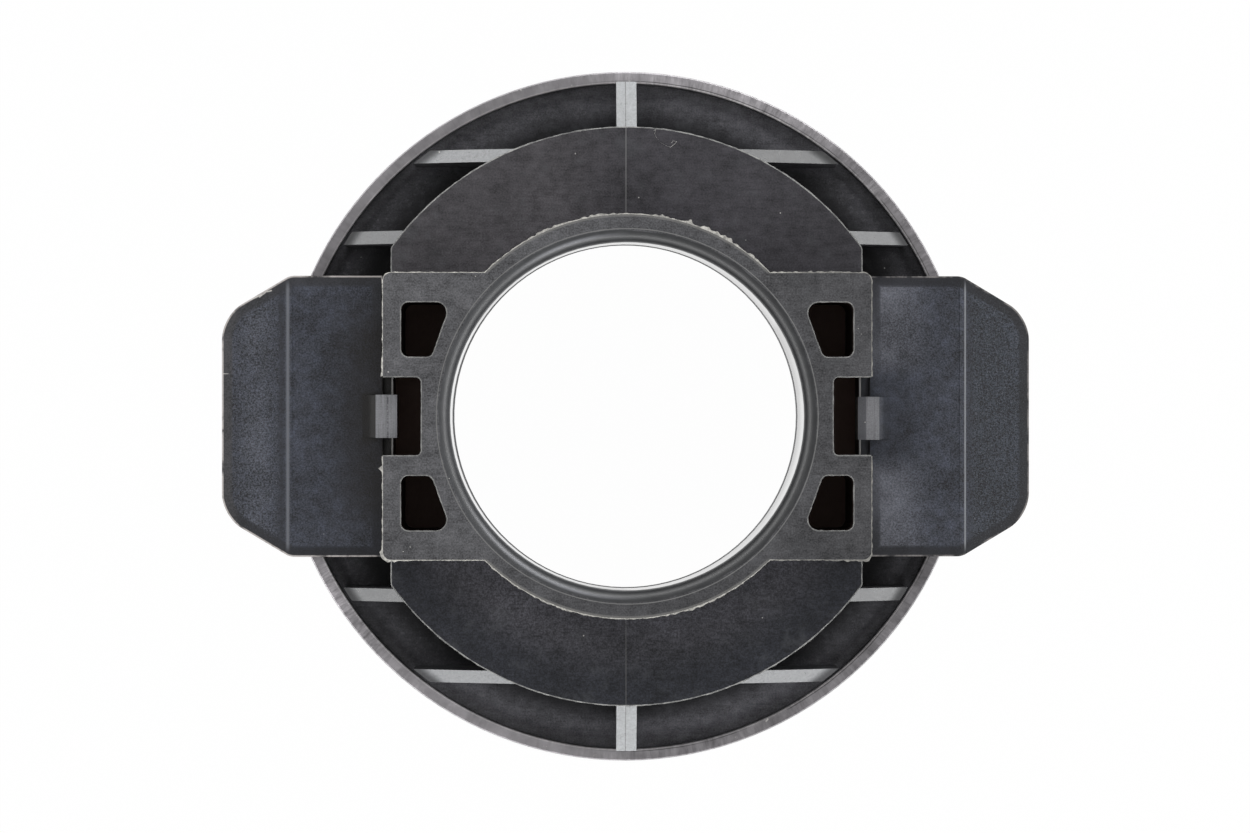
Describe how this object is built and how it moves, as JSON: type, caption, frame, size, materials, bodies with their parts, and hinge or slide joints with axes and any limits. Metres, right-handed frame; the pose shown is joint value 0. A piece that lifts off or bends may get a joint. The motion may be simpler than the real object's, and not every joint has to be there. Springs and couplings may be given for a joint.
{
  "type": "clutch release bearing",
  "caption": "Self-centring clutch release bearing: a ball bearing with a flat thrust nose, held by a steel cup on a black plastic guide sleeve with two steel fork plates.",
  "frame": {"origin": "centre of the bore axis in the plane of the thrust face, on which the part stands", "axes": "+Z along the bore axis from the thrust face to the sleeve's rear end face, +X along the two fork plates, +Y across them"},
  "size_m": [0.077, 0.0666, 0.04],
  "materials": {
    "black_plastic": "black glass-filled nylon, satin, with thin pale mould flash on its edges",
    "phosphated_steel": "blue-black phosphated steel sheet, oiled, mottled, sheared edges bare",
    "cup_steel": "drawn steel sheet with a bare sheared rim",
    "spring_steel": "plain spring steel",
    "bearing_steel": "turned and ground bearing steel",
    "ball_steel": "polished bearing steel",
    "cage_plastic": "natural glass-filled nylon",
    "seal_rubber": "black nitrile rubber"
  },
  "bodies": {
    "carrier": {"guide_sleeve": "black_plastic", "fork_plate_left": "phosphated_steel", "fork_plate_right": "phosphated_steel", "retaining_cup": "cup_steel"},
    "spring_seat": {"disc_spring": "spring_steel"},
    "bearing": {"outer_ring": "bearing_steel", "front_seal": "seal_rubber", "rear_seal": "seal_rubber"},
    "nose": {"thrust_ring": "bearing_steel"},
    "ball_set": {"ball_cage": "cage_plastic", "ball_01": "ball_steel", "ball_02": "ball_steel", "ball_03": "ball_steel", "ball_04": "ball_steel", "ball_05": "ball_steel", "ball_06": "ball_steel", "ball_07": "ball_steel", "ball_08": "ball_steel", "ball_09": "ball_steel", "ball_10": "ball_steel", "ball_11": "ball_steel", "ball_12": "ball_steel", "ball_13": "ball_steel", "ball_14": "ball_steel", "ball_15": "ball_steel", "ball_16": "ball_steel", "ball_17": "ball_steel", "ball_18": "ball_steel"}
  },
  "joints": [
    {"name": "float_x", "type": "slide", "parent": "carrier", "child": "spring_seat", "axis": [1, 0, 0], "range_m": [-0.0004, 0.0004]},
    {"name": "float_y", "type": "slide", "parent": "spring_seat", "child": "bearing", "axis": [0, 1, 0], "range_m": [-0.0004, 0.0004]},
    {"name": "ring_spin", "type": "hinge", "parent": "bearing", "child": "nose", "pos_m": [0, 0, 0.013], "axis": [0, 0, 1], "continuous": true},
    {"name": "cage_spin", "type": "hinge", "parent": "bearing", "child": "ball_set", "pos_m": [0, 0, 0.013], "axis": [0, 0, 1], "continuous": true}
  ],
  "couplings": [
    {"joint": "cage_spin", "follows": "ring_spin", "ratio": 0.447}
  ]
}
